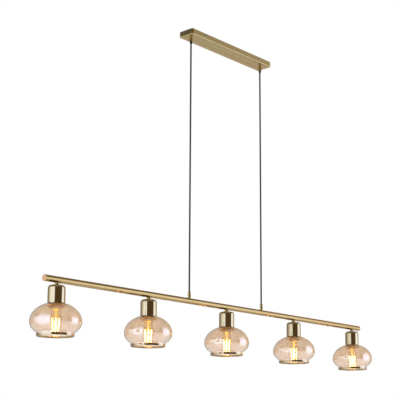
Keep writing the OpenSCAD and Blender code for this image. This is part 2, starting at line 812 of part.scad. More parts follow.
module lampholder() {
    body_h = holder_h - boss_h;
    mouth_r = shell_out_r - shell_t / 2;
    color([0.90, 0.86, 0.78]) translate([0, 0, holder_low_z]) difference() {
        union() {
            cup_form(holder_r, body_h, holder_shoulder_r);
            cylinder(h = holder_h, d = boss_d);
        }
        translate([0, 0, -cut]) cylinder(h = socket_depth, r = mouth_r);
        translate([0, 0, socket_lip_h]) cylinder(h = socket_depth - socket_lip_h, r = shell_out_r + seat);
        translate([0, 0, chamber_low_z - holder_low_z])
            cylinder(h = chamber_top_z - chamber_low_z, r = holder_r - holder_t - chamber_inset);
        translate([0, 0, chamber_top_z - holder_low_z - cut])
            cylinder(h = holder_h, d = stem_thread_d + 2 * seat);
        cylinder(h = holder_h, d = tongue_pin_d + 2 * seat);
    }
}

module socket_contacts() {
    shell_low_z = holder_low_z + socket_lip_h + seat;
    tongue_low_z = cap_tip_z + free_gap;
    color([0.82, 0.66, 0.34]) at_lights() {
        translate([0, 0, shell_low_z])
            tube(socket_top_z - shell_gap - shell_low_z, shell_out_r, shell_in_r);
        translate([0, 0, tongue_low_z]) cylinder(h = socket_top_z - seat - tongue_low_z, d = tongue_d);
        translate([0, 0, tongue_low_z])
            cylinder(h = chamber_low_z - tongue_low_z + rivet_rise, d = tongue_pin_d);
    }
}

module shade_ring() {
    sleeve_in = holder_r + seat;
    sleeve_out = sleeve_in + ring_sleeve_t;
    flange_low_z = ring_top_z - ring_flange_t;
    low_z = flange_low_z - ring_sleeve_h;
    flange_r = ring_flange_d / 2;
    color([0.80, 0.62, 0.34]) difference() {
        rotate_extrude() polygon([
            [sleeve_in, low_z], [sleeve_out - ring_edge, low_z], [sleeve_out, low_z + ring_edge],
            [sleeve_out, flange_low_z], [flange_r - ring_edge, flange_low_z],
            [flange_r, flange_low_z + ring_edge], [flange_r, ring_top_z], [sleeve_in, ring_top_z]
        ]);
        for (k = [1:ring_notches]) rotate([0, 0, 360 * k / ring_notches])
            translate([flange_r + ring_notch_out, 0, flange_low_z - cut])
                cylinder(h = ring_flange_t + 2 * cut, d = ring_notch_d, $fn = notch_facets);
    }
}

module glass_shade() {
    outer = shade_face(0, shade_steps);
    inner = shade_face(shade_t, shade_steps);
    last = len(inner) - 1;
    color([0.86, 0.72, 0.58, 0.5]) rotate_extrude($fn = shade_facets)
        polygon(concat(outer, [for (k = [0:last]) inner[last - k]]));
}

module rim_ring() {
    wall = lip_r + seat;
    color([0.78, 0.66, 0.42]) rotate_extrude($fn = shade_facets) difference() {
        translate([rim_in_r, rim_low_z]) square([rim_r - rim_in_r, rim_h]);
        translate([rim_in_r + rim_t, rim_low_z + rim_t]) square([wall - rim_in_r - rim_t, rim_h]);
        translate([rim_in_r - cut, rim_low_z + rim_inner_h]) square([rim_t + cut + sliver, rim_h]);
    }
}

module bulb_glass() {
    outer = bulb_face(0, bulb_steps);
    inner = bulb_face(bulb_t, bulb_steps);
    last = len(inner) - 1;
    neck = bulb_neck_d / 2;
    color([1.0, 0.93, 0.80, 0.4]) {
        rotate_extrude() polygon(concat(outer, [for (k = [0:last]) inner[last - k]]));
        translate([0, 0, cap_rim_z - sliver]) tube(neck_seat_h, neck, neck - bulb_t);
    }
}

module bulb_cap() {
    skirt_r = cap_r - cap_depth / 2;
    thread_top = cap_skirt_h + cap_turns * cap_pitch;
    color([0.80, 0.70, 0.48]) difference() {
        rotate_extrude() polygon(concat(
            [[0, cap_rim_z], [skirt_r, cap_rim_z]],
            thread_face(cap_skirt_h, cap_turns, cap_turn_steps),
            [
                [cap_r - cap_shoulder_w, cap_rim_z + thread_top + cap_shoulder_h],
                [cap_insulator_r, cap_tip_z - button_h], [button_foot_r, cap_tip_z - button_h],
                [button_r, cap_tip_z - button_edge], [button_flat_r, cap_tip_z], [0, cap_tip_z]
            ]
        ));
        translate([0, 0, cap_rim_z - cut])
            cylinder(h = neck_seat_h + cut + 2 * seat, d = bulb_neck_d + 2 * seat);
        translate([0, 0, cap_rim_z - cut])
            cylinder(h = thread_top + cut, r = cap_r - cap_depth - cap_t);
    }
}

module bulb_filament() {
    base_z = cap_rim_z + neck_seat_h;
    top_z = cap_rim_z - rod_top;
    hub_z = top_z + hub_rise;
    foot_z = top_z - rod_len;
    wire_low_z = foot_z - foot_drop;
    color([1.0, 0.85, 0.35]) {
        translate([0, 0, base_z - plug_h])
            cylinder(h = plug_h, d = bulb_neck_d - 2 * bulb_t - 2 * seat);
        translate([0, 0, hub_z]) cylinder(h = base_z - hub_z, d = bulb_stem_d);
        translate([0, 0, wire_low_z])
            cylinder(h = hub_z + hub_wire - wire_low_z, d = support_d);
        for (k = [1:rod_count]) {
            way = 360 * k / rod_count + rod_turn;
            side = [cos(way), sin(way), 0];
            high = side * rod_circle_r + [0, 0, top_z];
            low = side * rod_foot_r + [0, 0, foot_z];
            rod_between(low, high, rod_d);
            rod_between(high, [0, 0, hub_z + hub_joint], support_d);
            rod_between([0, 0, foot_z - foot_joint], low, support_d);
        }
    }
}

ceiling_canopy();
mounting_bracket();
bracket_screws();
terminal_block();
terminal_screws();
canopy_glands();
gland_nuts();
gland_set_screws();
cable_bushes();
inner_cable_tails();
suspension_cable(-1);  // suspension_cable_left
suspension_cable(1);  // suspension_cable_right
bar_tube();
bar_end_cap_left();
bar_end_cap_right();
bar_cable_grips();
grip_set_screws();
bar_wiring();
light_stems();
socket_contacts();
for (i = LIGHTS) {
    at_light(i) cup();
    at_light(i) lampholder();
    at_light(i) shade_ring();
    at_light(i) glass_shade();
    at_light(i) rim_ring();
    at_light(i) bulb_glass();
    at_light(i) bulb_cap();
    at_light(i) bulb_filament();
}
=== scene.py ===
"""Five-light bar pendant in brass and amber glass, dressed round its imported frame.

Sizes of the light are in millimetres up to the point where a mesh is made; the camera, the studio and
the made meshes are in metres.
"""

import math

import bpy
import numpy as np
from mathutils import Euler, Matrix, Vector


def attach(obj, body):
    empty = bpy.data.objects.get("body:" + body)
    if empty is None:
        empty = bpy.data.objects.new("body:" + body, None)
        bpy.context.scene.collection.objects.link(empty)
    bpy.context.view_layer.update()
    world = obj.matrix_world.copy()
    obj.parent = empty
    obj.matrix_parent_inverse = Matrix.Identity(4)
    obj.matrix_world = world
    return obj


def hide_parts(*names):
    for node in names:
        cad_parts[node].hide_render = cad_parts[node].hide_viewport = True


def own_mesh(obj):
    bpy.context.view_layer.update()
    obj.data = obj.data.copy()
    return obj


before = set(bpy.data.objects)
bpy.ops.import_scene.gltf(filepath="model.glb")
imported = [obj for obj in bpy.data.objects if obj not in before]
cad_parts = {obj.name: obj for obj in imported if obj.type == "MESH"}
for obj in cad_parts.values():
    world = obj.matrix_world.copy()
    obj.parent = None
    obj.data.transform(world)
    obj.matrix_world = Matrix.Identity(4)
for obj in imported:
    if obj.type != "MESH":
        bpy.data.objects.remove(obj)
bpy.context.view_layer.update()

MM = 0.001

# Heights and radii of the part, in millimetres. BAR_Z and the cables' ends are measured from the ceiling,
# every other height from the bar's axis. SEAT is the gap between pieces that are fastened together.
SEAT = 0.05
BAR_Z = -870.0
PITCH = 350.0
LIGHTS = {i: (i - 3) * PITCH for i in range(1, 6)}

CABLE_X, CABLE_D = 175.0, 5.3
CABLE_TOP = -38.0
CABLE_LOW = BAR_Z + 13

CUP_TOP, CUP_LOW = -15.6, -64.2
CUP_R, CUP_T, CUP_SHOULDER, CUP_HOLE_R = 24.0, 1.2, 8.0, 5.15

HOLDER_TOP = CUP_TOP - CUP_T - SEAT
HOLDER_LOW, HOLDER_R, HOLDER_BODY_H = -76.85, 19.8, 51.5
HOLDER_MOUTH_R, HOLDER_BOSS_R, HOLDER_BOSS_HOLE_R = 13.7, 8.5, 5.0
HOLDER_THREAD_PITCH, HOLDER_THREAD_DEEP = 2.5, 0.7
SOCKET_R, SOCKET_DEEP, SOCKET_LIP = 14.05, 26, 3

RING_R, RING_OUT_R, RING_SLEEVE_H = 19.85, 21.85, 4.5
RING_FLANGE_R, RING_FLANGE_T = 28.0, 2.4

# The height of the shade's widest line puts its outer face SEAT below the cup's lower inner edge
SHADE_R, SHADE_UP, SHADE_DOWN, SHADE_T = 70.6, 53.0, 42.0, 2.2
SHADE_HOLE_R, LIP_R, LIP_DROP = 20.5, 50.2, 38.0
SHADE_MID = CUP_LOW - SEAT - SHADE_UP * math.sqrt(1 - ((CUP_R - CUP_T) / SHADE_R) ** 2)
LIP_LOW = SHADE_MID - LIP_DROP
SHADE_TURNS = 160

CAP_RIM = HOLDER_LOW - 3
CAP_R, CAP_LEN = 13.1, 25
CAP_PITCH, CAP_GROOVE, CAP_TURNS = 3.63, 1.15, 5
BULB_R, BULB_LEN, BULB_WIDE, BULB_NECK_R, BULB_T = 17.5, 70.0, 30.0, 12.0, 0.9

HUB_Z = CAP_RIM - 19.5
ROD_TOP, ROD_LOW = CAP_RIM - 24.5, CAP_RIM - 56.5
RODS, ROD_HIGH_R, ROD_FOOT_R, ROD_TURN = 4, 9.5, 8.0, 45
CORE_R, SHEATH_R = 0.9, 1.5

# The studio, in metres and degrees. From the bar's middle the camera stands at CAMERA_ANGLE in the floor
# plan, and the cards' and lamps' angles are counted from there, to the camera's right.
CAMERA_ANGLE = 220.6
FLOOR_Z, FLOOR_REACH = -2.52, 25
FLAG_REACH, FLAG_TOP, HIGH_FLAG_FOOT, ROOF_Z = 8.0, 4.5, 1.6, 4.4
LAMP_TONE, LAMP_LEVEL = "#dbe7ff", 2.45

# Noise mostly stays within these values, so a pattern's full contrast is spread over them
NOISE_LOW, NOISE_HIGH = 0.3, 0.7


# Camera


def camera():
    """Camera at the photograph's place: below the bar and off its left end, looking up at it.

    The photograph's upright lines are parallel, which takes a large lens shift. Every other view keeps
    the shift, so only as much of it is used as leaves the light in the middle of those views.
    """
    left_of_middle, in_front, below_bar = 2.5289, 2.1737, 0.4658
    place = Vector((-left_of_middle, -in_front, BAR_Z * MM - below_bar))
    yaw, pitch, roll = 0.8352, 0.1926, 0.0051
    focal_px, shift_px, picture_px = 1059.62, 50, 400
    data = bpy.data.cameras.new("photo_camera")
    data.sensor_width = 36
    data.lens = focal_px / picture_px * data.sensor_width
    data.shift_y = shift_px / picture_px
    data.clip_start, data.clip_end = 0.05, 100
    made = bpy.data.objects.new("photo_camera", data)
    bpy.context.scene.collection.objects.link(made)
    aim = Euler((math.pi / 2 + pitch, 0, -yaw)).to_matrix().to_4x4()
    made.matrix_world = Matrix.Translation(place) @ aim @ Matrix.Rotation(roll, 4, "Z")
    bpy.context.scene.camera = made


# Materials


def linear(code):
    """Linear colour of an sRGB hex code."""
    rgb = np.array([int(code[i : i + 2], 16) for i in (1, 3, 5)]) / 255
    lin = np.where(rgb <= 0.04045, rgb / 12.92, ((rgb + 0.055) / 1.055) ** 2.4)
    return (*lin.tolist(), 1.0)


def add(tree, kind, inputs=None, **settings):
    """Adds a node with its settings, and its inputs as values or as other nodes' outputs."""
    made = tree.nodes.new(kind)
    for key, value in settings.items():
        setattr(made, key, value)
    for key, value in (inputs or {}).items():
        if isinstance(value, bpy.types.NodeSocket):
            tree.links.new(value, made.inputs[key])
        else:
            made.inputs[key].default_value = value
    return made


def blank(name):
    """New material with an empty tree and its output node."""
    made = bpy.data.materials.new(name)
    made.use_nodes = True
    made.node_tree.nodes.clear()
    out = add(made.node_tree, "ShaderNodeOutputMaterial")
    return made, made.node_tree, out


def brass(name, tone, worn, rough, grain, relief=0.02, cloud=0.25):
    """Lacquered brass; tone is the metal, worn the darker tint in its streaks.

    grain is where the tool lines run: ("along", length, width) on a part lying on X, ("height", pitch)
    round an upright axis, or ("turned", pitch) along the profile of a spun or turned piece, in mm.
    relief is how much of the lines' 0.02 mm depth shows, and cloud is the share of soft clouds in the
    pattern. The roughness varies with the pattern by a tenth.
    """
    made, tree, out = blank(name)
    cloud_per_m, gloss_change, gloss_low, gloss_high = 40.0, 0.1, 0.25, 0.75
    place = add(tree, "ShaderNodeTexCoord")
    turned = grain[0] == "turned"
    if grain[0] == "along":
        stretch = (1000 / grain[1], 1000 / grain[2], 1000 / grain[2])
        run = add(tree, "ShaderNodeMapping", {"Vector": place.outputs["Object"], "Scale": stretch})
        lines = add(tree, "ShaderNodeTexNoise", {"Vector": run.outputs[0], "Scale": 1.0, "Detail": 0.0})
    else:
        source = place.outputs["UV" if turned else "Object"]
        parts = add(tree, "ShaderNodeSeparateXYZ", {0: source})
        step = add(
            tree,
            "ShaderNodeMath",
            {0: parts.outputs["Y" if turned else "Z"], 1: 1000 / grain[1]},
            operation="MULTIPLY",
        )
        lines = add(
            tree,
            "ShaderNodeTexNoise",
            {"W": step.outputs[0], "Scale": 1.0, "Detail": 3.0},
            noise_dimensions="1D",
        )
    # Lacquer and handling leave soft clouds about 25 mm wide
    clouds = add(
        tree, "ShaderNodeTexNoise", {"Vector": place.outputs["Object"], "Scale": cloud_per_m, "Detail": 0.0}
    )
    tint = add(
        tree,
        "ShaderNodeMix",
        {0: cloud, 2: lines.outputs[0], 3: clouds.outputs[0]},
        data_type="FLOAT",
    )
    spread = add(
        tree,
        "ShaderNodeMapRange",
        {"Value": tint.outputs[0], "From Min": NOISE_LOW, "From Max": NOISE_HIGH},
    )
    colour = add(
        tree,
        "ShaderNodeMix",
        {0: spread.outputs[0], 6: linear(tone), 7: linear(worn)},
        data_type="RGBA",
    )
    gloss = add(
        tree,
        "ShaderNodeMapRange",
        {
            "Value": tint.outputs[0],
            "From Min": gloss_low,
            "From Max": gloss_high,
            "To Min": rough * (1 - gloss_change),
            "To Max": rough * (1 + gloss_change),
        },
    )
    bump = add(
        tree,
        "ShaderNodeBump",
        {"Strength": relief, "Distance": 0.02 * MM, "Height": lines.outputs[0]},
    )
    skin = add(
        tree,
        "ShaderNodeBsdfPrincipled",
        {
            "Base Color": colour.outputs[2],
            "Metallic": 1.0,
            "Roughness": gloss.outputs[0],
            "Normal": bump.outputs[0],
        },
    )
    tree.links.new(skin.outputs[0], out.inputs[0])
    return made


def plastic(name, tone, worn, rough, grit, relief, ior=1.5):
    """Moulded or extruded plastic with a fine grain of grit mm and a slight mottling of its colour.

    The mottling's patches are about 11 mm wide, and the grain is up to 0.1 mm deep.
    """
    made, tree, out = blank(name)
    mottle_per_m, gloss_change = 90.0, 0.05
    place = add(tree, "ShaderNodeTexCoord")
    mottle = add(
        tree,
        "ShaderNodeTexNoise",
        {"Vector": place.outputs["Object"], "Scale": mottle_per_m, "Detail": 2.0},
    )
    fine = add(
        tree,
        "ShaderNodeTexNoise",
        {"Vector": place.outputs["Object"], "Scale": 1000 / grit, "Detail": 2.0},
    )
    colour = add(
        tree,
        "ShaderNodeMix",
        {0: mottle.outputs[0], 6: linear(tone), 7: linear(worn)},
        data_type="RGBA",
    )
    gloss = add(
        tree,
        "ShaderNodeMapRange",
        {
            "Value": fine.outputs[0],
            "From Min": NOISE_LOW,
            "From Max": NOISE_HIGH,
            "To Min": rough - gloss_change,
            "To Max": rough + gloss_change,
        },
    )
    bump = add(
        tree, "ShaderNodeBump", {"Strength": relief, "Distance": 0.1 * MM, "Height": fine.outputs[0]}
    )
    skin = add(
        tree,
        "ShaderNodeBsdfPrincipled",
        {
            "Base Color": colour.outputs[2],
            "Roughness": gloss.outputs[0],
            "Normal": bump.outputs[0],
            "IOR": ior,
        },
    )
    tree.links.new(skin.outputs[0], out.inputs[0])
    return made


def steel(name, tone, worn, rough):
    """Plated or blackened steel with soft spangle about 3 mm wide from the bath."""
    made, tree, out = blank(name)
    spangle_per_m, gloss_change = 320.0, 0.2
    place = add(tree, "ShaderNodeTexCoord")
    spangle = add(
        tree,
        "ShaderNodeTexNoise",
        {"Vector": place.outputs["Object"], "Scale": spangle_per_m, "Detail": 3.0},
    )
    colour = add(
        tree,
        "ShaderNodeMix",
        {0: spangle.outputs[0], 6: linear(tone), 7: linear(worn)},
        data_type="RGBA",
    )
    gloss = add(
        tree,
        "ShaderNodeMapRange",
        {
            "Value": spangle.outputs[0],
            "From Min": NOISE_LOW,
            "From Max": NOISE_HIGH,
            "To Min": rough * (1 - gloss_change),
            "To Max": rough * (1 + gloss_change),
        },
    )
    skin = add(
        tree,
        "ShaderNodeBsdfPrincipled",
        {"Base Color": colour.outputs[2], "Metallic": 1.0, "Roughness": gloss.outputs[0]},
    )
    tree.links.new(skin.outputs[0], out.inputs[0])
    return made


def glass(name, tint, drifts, rough, coat=0.0, coat_ior=1.5, wave=0.0, lit=None):
    """Clear or tinted glass; each face that light crosses takes off its tint.

    drifts is a slightly deeper tint in soft drifts about 45 mm wide, and wave is the height of the blown
    surface's unevenness in mm. coat is the share of a stain's shine, and a high coat_ior makes it brighter.
    lit is the colour and level of a painted glow, for glass that is no lamp. Shadows let tinted light
    through, as a thin wall does.
    """
    made, tree, out = blank(name)
    drift_per_m, glass_ior, coat_rough = 22.0, 1.5, 0.08
    place = add(tree, "ShaderNodeTexCoord")
    drift = add(
        tree, "ShaderNodeTexNoise", {"Vector": place.outputs["Object"], "Scale": drift_per_m, "Detail": 2.0}
    )
    colour = add(
        tree,
        "ShaderNodeMix",
        {0: drift.outputs[0], 6: linear(tint), 7: linear(drifts)},
        data_type="RGBA",
    )
    inputs = {
        "Base Color": colour.outputs[2],
        "Roughness": rough,
        "IOR": glass_ior,
        "Transmission Weight": 1.0,
        "Coat Weight": coat,
        "Coat Roughness": coat_rough,
        "Coat IOR": coat_ior,
    }
    if wave:
        bump = add(
            tree,
            "ShaderNodeBump",
            {"Strength": 1.0, "Distance": wave * MM, "Height": drift.outputs[0]},
        )
        inputs["Normal"] = bump.outputs[0]
    if lit:
        inputs["Emission Color"] = linear(lit[0])
        inputs["Emission Strength"] = lit[1]
    skin = add(tree, "ShaderNodeBsdfPrincipled", inputs)
    clear = add(tree, "ShaderNodeBsdfTransparent", {"Color": colour.outputs[2]})
    path = add(tree, "ShaderNodeLightPath")
    mixed = add(
        tree,
        "ShaderNodeMixShader",
        {0: path.outputs["Is Shadow Ray"], 1: skin.outputs[0], 2: clear.outputs[0]},
    )
    tree.links.new(mixed.outputs[0], out.inputs[0])
    return made


def phosphor(name, tone, glow, strength, clearness):
    """Phosphor in silicone on a light rod: grains about 1 mm wide, lit from inside at strength. The wires
    use it too, as a painted glow.

    Only a strong glow is looked for as a lamp; the others are found by the rays that reach them.
    """
    made, tree, out = blank(name)
    grain_per_m, lamp_from = 900.0, 2
    place = add(tree, "ShaderNodeTexCoord")
    grain = add(
        tree, "ShaderNodeTexNoise", {"Vector": place.outputs["Object"], "Scale": grain_per_m, "Detail": 2.0}
    )
    colour = add(
        tree,
        "ShaderNodeMix",
        {0: grain.outputs[0], 6: linear(tone), 7: linear(glow)},
        data_type="RGBA",
    )
    skin = add(
        tree,
        "ShaderNodeBsdfPrincipled",
        {
            "Base Color": colour.outputs[2],
            "Roughness": 0.4,
            "Emission Color": colour.outputs[2],
            "Emission Strength": strength,
            "Alpha": 1 - clearness,
        },
    )
    tree.links.new(skin.outputs[0], out.inputs[0])
    made.cycles.emission_sampling = "AUTO" if strength > lamp_from else "NONE"
    return made


def cores(name, sheath_top):
    """Flexible mains wires: blue and brown cores, in a black sheath below the height sheath_top in metres.

    Their plastic has a grain about 0.7 mm wide and up to 0.1 mm deep.
    """
    made, tree, out = blank(name)
    grain_per_m = 1500.0
    place = add(tree, "ShaderNodeTexCoord")
    parts = add(tree, "ShaderNodeSeparateXYZ", {0: place.outputs["Object"]})
    back = add(tree, "ShaderNodeMath", {0: parts.outputs["Y"], 1: 0.0}, operation="GREATER_THAN")
    under = add(tree, "ShaderNodeMath", {0: parts.outputs["Z"], 1: sheath_top}, operation="LESS_THAN")
    pair = add(
        tree,
        "ShaderNodeMix",
        {0: back.outputs[0], 6: linear("#23406f"), 7: linear("#5a3522")},
        data_type="RGBA",
    )
    colour = add(
        tree,
        "ShaderNodeMix",
        {0: under.outputs[0], 6: pair.outputs[2], 7: linear("#121213")},
        data_type="RGBA",
    )
    fine = add(
        tree, "ShaderNodeTexNoise", {"Vector": place.outputs["Object"], "Scale": grain_per_m, "Detail": 1.0}
    )
    bump = add(tree, "ShaderNodeBump", {"Strength": 0.1, "Distance": 0.1 * MM, "Height": fine.outputs[0]})
    skin = add(
        tree,
        "ShaderNodeBsdfPrincipled",
        {"Base Color": colour.outputs[2], "Roughness": 0.42, "Normal": bump.outputs[0]},
    )
    tree.links.new(skin.outputs[0], out.inputs[0])
    return made


# Folded sheet, brushed lengthwise and lacquered: a satin face with long soft streaks. The brush's own
# lines of about 0.2 mm wouldn't show, so they are drawn 14 mm wide, and the tube's 9 mm
SHEET = brass("brushed_brass_sheet", "#c8b381", "#bda877", 0.30, ("along", 900, 14), 0.01)
# Drawn tube, polished along its length: clear bands of light with faint drawing streaks
TUBE = brass("drawn_brass_tube", "#b49868", "#ab8d5a", 0.17, ("along", 900, 9), 0.01)
# Turned from rod of a redder brass, with a fine mottling of 3 mm
CAPS = brass("turned_red_brass", "#dcb48c", "#cfa47a", 0.28, ("along", 3, 3), 0.05)
# Turned on a lathe: rings of tool lines under the lacquer, drawn 0.8 mm apart so that they show close by
TURNED = brass("turned_brass", "#b8a173", "#a48b58", 0.15, ("height", 0.8), 0.08)
# Spun from sheet over a form and polished: nearly a mirror, with faint rings 1.5 mm wide
SPUN = brass("spun_polished_brass", "#c0b190", "#b9a885", 0.075, ("turned", 1.5), 0.02, 0.5)
# Rolled ring, polished like the cups, with faint rings 1 mm wide
ROLLED = brass("rolled_polished_brass", "#c0b193", "#b8a786", 0.09, ("turned", 1.0), 0.02, 0.5)
# Cast ring, turned in lines 0.7 mm apart and left dull, so it takes the bulb's light evenly. Its tone is
# painted far paler than brass: painted light from the bulb
CAST_RING_PAINTED_LIGHT = brass("cast_ring_painted_bulb_light", "#ffdcab", "#f9cf96", 0.6, ("turned", 0.7), 0.10)
# Stamped and machined brass of nuts, contacts and terminal screws, unlacquered, with marks 1 mm wide
PLAIN = brass("machined_brass", "#c8a862", "#a98746", 0.28, ("along", 4, 1), 0.05)
# Stamped brass shell of the bulb's cap, bright from its plating
CAP_SHELL = brass("plated_cap_brass", "#e0cda4", "#cdb484", 0.16, ("turned", 0.9), 0.03, 0.4)
# Zinc-plated steel: grey, with a faint spangle
ZINC = steel("zinc_plated_steel", "#b9bcc0", "#94989e", 0.3)
# Black-oxide set screws: dark grey, half matt
OXIDE = steel("black_oxide_steel", "#4a4744", "#343230", 0.35)
# Tin solder on the cap's centre contact: pale grey and soft in its shine
SOLDER = steel("tin_solder", "#c9c9c6", "#a8a8a4", 0.38)
# Moulded polyamide of the terminal block: milky white, half matt
POLYAMIDE = plastic("white_polyamide", "#eceae3", "#dedbd1", 0.45, 0.6, 0.1)
# Injection-moulded bush: black, with a fine moulded grain
BUSH = plastic("black_moulded_bush", "#18181a", "#0f0f10", 0.4, 0.5, 0.1)
# Extruded PVC sheath: matt black, a little uneven over 2.5 mm from the die
SHEATH = plastic("black_pvc_sheath", "#3c3c3e", "#323234", 0.42, 2.5, 0.02, 1.52)
# Compression-moulded phenolic of the lampholder: ivory, smooth and a little glossy
PHENOLIC = plastic("ivory_phenolic", "#ece2d0", "#ddd0ba", 0.35, 0.7, 0.05)
# Black glass between the cap's shell and its contact: poured and glossy
CAP_GLASS = plastic("black_cap_glass", "#17161a", "#0e0d10", 0.15, 1.2, 0.02)
# Mouth-blown glass with an amber stain, which shines more than bare glass: it looks like weak tea
AMBER = glass("amber_blown_glass", "#f7e5d1", "#f4dfc7", 0.08, 1.0, 2.8, 0.002)
# The inner face of the same wall, without the stain's shine
AMBER_INNER = glass("amber_inner_face", "#f9e8d7", "#f7e3cf", 0.08, wave=0.002)
# Thin clear glass of the bulb; its faint warm tint is a painted warmth that stands in for the light in it
CLEAR = glass("thin_bulb_glass_painted_warmth", "#fbf3e4", "#f8ecd6", 0.08)
# Drawn lead glass of the bulb's stem with a painted glow: its yellow tint and emission stand in for the
# light of the rods beside it
STEM = glass("stem_glass_painted_glow", "#fff0c8", "#ffe7b0", 0.05, lit=("#ffd840", 0.55))
# Light rod: the chips' line, near white
CORE = phosphor("lit_rod_core", "#ffe9c4", "#fff0d6", 80.0, 0.0)
# Light rod: the yellow phosphor round it
GLOW = phosphor("lit_rod_sheath", "#ffcb45", "#ffd968", 0.9, 0.45)
# Nickel wires that carry the rods, with a painted glow: their yellow tone and emission stand in for the
# rods' light on them
WIRES = phosphor("nickel_wire_painted_glow", "#e8b850", "#f4cc6a", 0.75, 0.0)
# Wires in the bar: bare of the sheath everywhere, since its height lies below the whole light
BAR_CORES = cores("wires_in_the_bar", -2.0)
# Wires in the canopy: out of the sheath above this height
TAIL_CORES = cores("wires_in_the_canopy", -0.0122)


# Surfaces worked out on a grid


def even(path, step):
    """Points at equal distances of about step along a polyline, ends kept."""
    path = np.asarray(path, float)
    run = np.concatenate([[0], np.cumsum(np.linalg.norm(np.diff(path, axis=0), axis=1))])
    at = np.linspace(0, run[-1], max(2, round(run[-1] / step) + 1))
    return np.stack([np.interp(at, run, path[:, k]) for k in range(path.shape[1])], axis=1)


def softened(path, width):
    """Running mean of an evenly spaced polyline over width points; the ends stay where they are.

    Beyond each end the line goes on as its own image turned half round that end.
    """
    pad = width // 2
    wide = np.concatenate([2 * path[0] - path[pad:0:-1], path, 2 * path[-1] - path[-2 : -pad - 2 : -1]])
    kernel = np.ones(2 * pad + 1) / (2 * pad + 1)
    return np.stack([np.convolve(wide[:, k], kernel, "valid") for k in range(2)], axis=1)


def rounded(corners, steps):
    """Closed outline through corners (r, z, radius), each an arc that touches both of its sides.

    The arc's middle lies radius / sin(half) along the corner's bisector, where half is half the corner's
    angle, and its points turn evenly from the first touching point to the second.
    """
    points = []
    for k, (r, z, radius) in enumerate(corners):
        here = np.array([r, z], float)
        back = np.array(corners[k - 1][:2], float) - here
        on = np.array(corners[(k + 1) % len(corners)][:2], float) - here
        back, on = back / np.linalg.norm(back), on / np.linalg.norm(on)
        if not radius:
            points.append(here[None])
            continue
        half = 0.5 * math.acos(np.clip(back @ on, -1, 1))
        middle = here + (back + on) / np.linalg.norm(back + on) * radius / math.sin(half)
        start = here + back * radius / math.tan(half) - middle
        end = here + on * radius / math.tan(half) - middle
        sweep = math.pi - 2 * half
        t = np.linspace(0, 1, steps)[:, None]
        arc = np.sin((1 - t) * sweep) * start + np.sin(t * sweep) * end
        points.append(middle + arc / math.sin(sweep))
    return np.concatenate(points)


def revolved(profile, x, turns, warp=None):
    """Profile (r, z) carried round an upright axis at x: (r cos a, r sin a, z) for even angles a.

    A profile with r = 0 at both ends closes in two poles, any other closes on itself. warp(r, z, a)
    may change the radius point by point, for threads and notches. Gives points, faces and UVs, where
    U is the turn and V the length along the profile in metres.
    """
    profile = np.asarray(profile, float)
    r, z = profile.T
    if np.sum(r * np.roll(z, -1) - np.roll(r, -1) * z) < 0:
        profile = profile[::-1]
        r, z = profile.T
    poles = max(r[0], r[-1]) < 1e-6
    closed = profile if poles else np.concatenate([profile, profile[:1]])
    run = np.concatenate([[0], np.cumsum(np.linalg.norm(np.diff(closed, axis=0), axis=1))]) * MM
    angle = np.arange(turns) * 2 * np.pi / turns
    radius, height, turn = np.broadcast_arrays(r[:, None], z[:, None], angle[None, :])
    if warp:
        radius = warp(radius, height, turn)
    points = np.stack([x + radius * np.cos(turn), radius * np.sin(turn), BAR_Z + height], axis=-1)
    rows = points[1:-1] if poles else points
    count = len(rows)
    here = np.arange(count * turns).reshape(count, turns)
    side = np.roll(here, -1, axis=1)
    if poles:
        low, low_side, high, high_side = here[:-1], side[:-1], here[1:], side[1:]
        v_low, v_high = run[1:-2], run[2:-1]
    else:
        low, low_side = here, side
        high, high_side = np.roll(here, -1, axis=0), np.roll(side, -1, axis=0)
        v_low, v_high = run[:-1], run[1:]
    quads = np.stack([low, low_side, high_side, high], axis=-1).reshape(-1, 4)
    u = np.arange(turns) / turns
    u, v0 = np.broadcast_arrays(u[None, :], v_low[:, None])
    v1 = np.broadcast_to(v_high[:, None], u.shape)
    step = 1 / turns
    uv = np.stack([u, v0, u + step, v0, u + step, v1, u, v1], axis=-1).reshape(-1, 2)
    faces = quads.tolist()
    verts = rows.reshape(-1, 3)
    if poles:
        first, last = len(verts), len(verts) + 1
        verts = np.concatenate([verts, points[0, :1], points[-1, :1]])
        faces += [[first, b, a] for a, b in zip(here[0].tolist(), side[0].tolist())]
        faces += [[a, b, last] for a, b in zip(here[-1].tolist(), side[-1].tolist())]
        turn_u = np.arange(turns) / turns
        ones = np.ones(turns)
        lower = [turn_u + step / 2, ones * run[0], turn_u + step, ones * run[1], turn_u, ones * run[1]]
        upper = [turn_u, ones * run[-2], turn_u + step, ones * run[-2], turn_u + step / 2, ones * run[-1]]
        uv = np.concatenate([uv, np.stack(lower, -1).reshape(-1, 2), np.stack(upper, -1).reshape(-1, 2)])
    return verts, faces, uv


